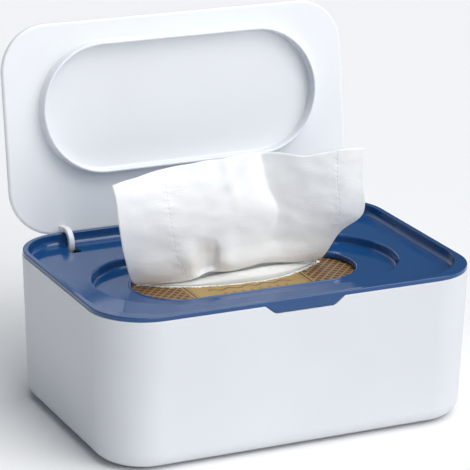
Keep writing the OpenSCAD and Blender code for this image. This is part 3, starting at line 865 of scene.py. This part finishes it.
def makeNextWipe():
    s = nextSheet
    widths = [s["across"][-1] * i / s["columns"] for i in range(s["columns"] + 1)]
    rows = []
    for back, height in s["profile"]:
        row = []
        loose = ease(back, 0.0, 0.4)            # the foot is held, the rest wanders
        for a in widths:
            fx, fy = through(s["across"], tear["front"], a)
            rx, ry, rz = through(s["across"], s["rear"], a)
            fy += s["behindTear"]
            x = fx * s["narrowed"] + (rx - fx) * max(back, 0)
            y = fy + (ry - fy) * max(back, 0) + (s["footBack"] if back < 0 else 0)
            z = s["foot"] + (rz - s["foot"]) * height
            lift = noise.noise(Vector((x * 0.09, y * 0.16, 2.2))) * s["wander"] * loose
            row.append((x, y, z + lift - s["sag"] * loose))
        rows.append(row)
    sheet = gridPiece("nextWipe", rows, lambda i, j: (widths[i] * clothScale, j * s["rowMap"]), "clothMap")
    modified(sheet, "SUBSURF", levels=1, render_levels=1)
    print("next wipe's area: %.6f m2" % sum(face.area for face in sheet.data.polygons))
    modified(sheet, "SOLIDIFY", thickness=s["thick"] * mm, offset=0)
    # darker cloth, painted shade where the next wipe sits down in the slot
    sheet.data.materials.append(shadedCloth)
    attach(sheet, "base")
    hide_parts("next_wipe")
    return sheet


nextWipe = makeNextWipe()
print("next wipe made")


packSizes = {"corner": 10, "edge": 7, "film": 0.12, "around": 440, "crumple": 0.55, "curl": 0.25,
             "tearMiddle": (-2, 4), "topDrop": 0.02, "edgeDrop": 0.1, "sideRows": 12, "sideDents": 0.25,
             "dentTall": 22, "farFromTear": 0.05,
             "topShares": (0, 0.006, 0.014, 0.024, 0.04, 0.06, 0.09, 0.13, 0.18, 0.24, 0.31, 0.39, 0.48,
                           0.57, 0.66, 0.75, 0.83, 0.9, 0.95, 1.0),     # from the tear out to the edge
             "footShares": (0.3, 0.6, 0.9), "topWide": 0.03}


def evenly(points, count):                      # points at even steps along a closed line
    line = [Vector(p) for p in points]
    legs = [(line[(i + 1) % len(line)] - line[i]).length for i in range(len(line))]
    whole, found = sum(legs), []
    for n in range(count):
        far, i = whole * n / count, 0
        while far > legs[i]:
            far -= legs[i]
            i += 1
        found.append(line[i].lerp(line[(i + 1) % len(line)], far / legs[i]))
    return found


def makePacket():
    s = packSizes
    low, high = [[c / mm for c in corner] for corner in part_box("wipes_pack")]
    centreY, centreZ = (low[1] + high[1]) / 2, (low[2] + high[2]) / 2
    halfX, halfY = (high[0] - low[0]) / 2, (high[1] - low[1]) / 2
    count, e, crumple = s["around"], s["edge"], s["crumple"]

    def outline(inset):                         # starts at the middle of the right side, runs to the rear
        r = max(s["corner"] - inset, 0.6)
        x, y = halfX - inset, halfY - inset
        points = [(x, centreY)]
        for i, (sideX, sideY) in enumerate(((1, 1), (-1, 1), (-1, -1), (1, -1))):
            points += [(sideX * (x - r) + dx, centreY + sideY * (y - r) + dy)
                       for dx, dy in arc(r, 90 * i, 90 * i + 90, 10)]
        return evenly(points, count)

    knots = list(range(len(tear["front"])))
    front = [through(knots, tear["front"], i / tear["steps"])
             for i in range(tear["steps"] * (len(knots) - 1) + 1)]
    hole = evenly(tear["rear"] + front, count)
    rng = random.Random(5)
    ragged = []
    for point in hole:
        out = (point - Vector(s["tearMiddle"])).normalized()
        rough = noise.noise(Vector((point.x * 0.9, point.y * 0.9, 4))) + 0.5 * (rng.random() - 0.5)
        ragged.append(point + out * rough * tear["ragged"])
    rows, distances = [], []

    def add(row, distance):
        rows.append(row)
        distances.append(distance)

    inner = outline(e)
    for share in s["topShares"]:                # the top, from the tear to where it rounds over
        row = []
        for torn, whole in zip(ragged, inner):
            spot = torn.lerp(whole, share)
            dip = 0.5 + noise.noise(Vector((spot.x * 0.05, spot.y * 0.08, 9)))
            dip = max(crumple * dip * ease(share, 0.1, 0.5), 0) * 0.6
            curl = s["curl"] * (1 - ease(share, 0, 0.02))
            curl = curl * noise.noise(Vector((spot.x * 0.2, spot.y * 0.2, 1)))
            row.append((spot.x, spot.y, high[2] - dip + curl - s["topDrop"]))
        add(row, share * s["topWide"])
    for dx, dz in arc(e, 90, 0, 9)[1:]:
        add([(point.x, point.y, high[2] - e + dz - s["edgeDrop"]) for point in outline(e - dx)],
            s["farFromTear"])
    sideLow, sideHigh = low[2] + e, high[2] - e
    for i in range(1, s["sideRows"]):           # the sides, with a few soft dents
        z = sideHigh + (sideLow - sideHigh) * i / s["sideRows"]
        row = []
        for point in outline(0):
            inward = Vector((-point.x / halfX, -(point.y - centreY) / halfY))
            depth = crumple * (0.5 + noise.noise(Vector((point.x * 0.06, point.y * 0.06, z * 0.05))))
            depth += s["sideDents"] * noise.noise(Vector((point.x * 0.3, point.y * 0.3, z * 0.08)))
            depth = max(depth, 0) * bulge(z, centreZ, s["dentTall"])
            moved = point + inward.normalized() * depth
            row.append((moved.x, moved.y, z))
        add(row, s["farFromTear"])
    for dx, dz in arc(e, 0, -90, 7):
        add([(point.x, point.y, sideLow + dz) for point in outline(e - dx)], s["farFromTear"])
    for share in s["footShares"]:
        add([(point.x * (1 - share), centreY + (point.y - centreY) * (1 - share), low[2])
             for point in inner], s["farFromTear"])
    for row in rows:
        row.append(row[0])                      # round again to the first column
    packet = gridPiece("wipesPacket", rows, lambda i, j: (i / count, distances[j]), "tearMap")
    pick(packet)
    bpy.ops.object.mode_set(mode="EDIT")
    bpy.ops.mesh.select_all(action="SELECT")
    bpy.ops.mesh.remove_doubles(threshold=1e-6)
    bpy.context.tool_settings.mesh_select_mode = (False, True, False)
    bpy.ops.mesh.select_all(action="DESELECT")
    mesh = bmesh.from_edit_mesh(packet.data)
    for edge in mesh.edges:
        if edge.is_boundary and edge.verts[0].co.z < (low[2] + 1) * mm:
            edge.select_set(True)
    bmesh.update_edit_mesh(packet.data)
    bpy.ops.mesh.edge_face_add()                # closes the middle of the bottom
    bpy.ops.mesh.select_all(action="SELECT")
    bpy.ops.mesh.normals_make_consistent(inside=False)
    bpy.ops.object.mode_set(mode="OBJECT")
    modified(packet, "SOLIDIFY", thickness=s["film"] * mm, offset=-1)
    packet.data.materials.append(film)
    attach(packet, "base")
    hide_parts("wipes_pack")


makePacket()
print("packet made")


stackSizes = {"sheets": 80, "corner": 8.8, "edge": 6.4, "groove": 0.22, "flatFrom": 0.3, "flatTo": 0.7}


def plainCloth():
    material, shader, start, place = paint("foldedNonwoven")
    k = clothLook
    fibre = speckle(start, place, k["fibre"], 4, 0.7)
    fuzz = speckle(start, place, k["fuzz"], 3, 0.6)
    feed(shader, Base_Color=fuzz.over(0.3, 0.75).mix(k["light"], k["dark"]), Sheen_Weight=k["sheen"],
         Roughness=k["rough"] + 0.1 * fibre, Normal=bump(start, fibre * 0.5 + fuzz, 0.00008, 0.5))
    return material


def makeStack():                                # folded wipes pressed together, a groove between each two
    s = stackSizes
    low, high = [[c / mm for c in corner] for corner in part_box("wipes_stack")]
    width, depth, y = high[0] - low[0], high[1] - low[1], (low[1] + high[1]) / 2
    step = (high[2] - low[2]) / s["sheets"]

    def layer(z, groove):
        rise = min(z - low[2], high[2] - z)
        inset = groove
        if rise < s["edge"]:
            inset += s["edge"] - math.sqrt(s["edge"] ** 2 - (s["edge"] - rise) ** 2)
        return (width - 2 * inset, depth - 2 * inset, max(s["corner"] - inset, 1), y, z)

    sections = []
    for i in range(s["sheets"]):
        z = low[2] + i * step
        sections += [layer(z, s["groove"]), layer(z + s["flatFrom"] * step, 0),
                     layer(z + s["flatTo"] * step, 0)]
    sections.append(layer(high[2], s["groove"]))
    stack = skinned("foldedWipes", sections)
    finished(stack, plainCloth(), "base", "wipes_stack", angle=60)


makeStack()
print("folded wipes made")


def softSun(name, towards, strength, spread):   # an even studio light from one side
    data = bpy.data.lights.new(name, "SUN")
    data.energy, data.angle = strength, math.radians(spread)
    light = bpy.data.objects.new(name, data)
    bpy.context.scene.collection.objects.link(light)
    light.rotation_euler = Vector(towards).to_track_quat("Z", "Y").to_euler()


studio = {"keyFrom": (0.40, -0.90, 0.45), "key": 1.85, "keySpread": 70,
          "topFrom": (0.24, -0.22, 1.0), "top": 2.2, "topSpread": 60,
          "sky": tint(0.72, 0.86, 1.0), "skyStrength": 0.15,
          "floor": tint(0.915, 0.915, 0.918), "floorHaze": tint(0.90, 0.90, 0.903), "floorSize": 30}

softSun("keyLight", studio["keyFrom"], studio["key"], studio["keySpread"])
softSun("topLight", studio["topFrom"], studio["top"], studio["topSpread"])
world = bpy.context.scene.world or bpy.data.worlds.new("studio")
bpy.context.scene.world = world
world.use_nodes = True
feed(world.node_tree.nodes["Background"], Color=studio["sky"], Strength=studio["skyStrength"])
bpy.context.scene.view_settings.view_transform = "Standard"

deselectAll()
bpy.ops.mesh.primitive_plane_add(size=studio["floorSize"])
floor = bpy.context.object
floor.name = "studioFloor"
floorMaterial, floorShader, floorStart, floorPlace = paint("paleFloor")
haze = speckle(floorStart, floorPlace, 3, 2)
feed(floorShader, Base_Color=haze.mix(studio["floor"], studio["floorHaze"]), Roughness=0.7)
floor.data.materials.append(floorMaterial)
print("camera, lights and floor made")
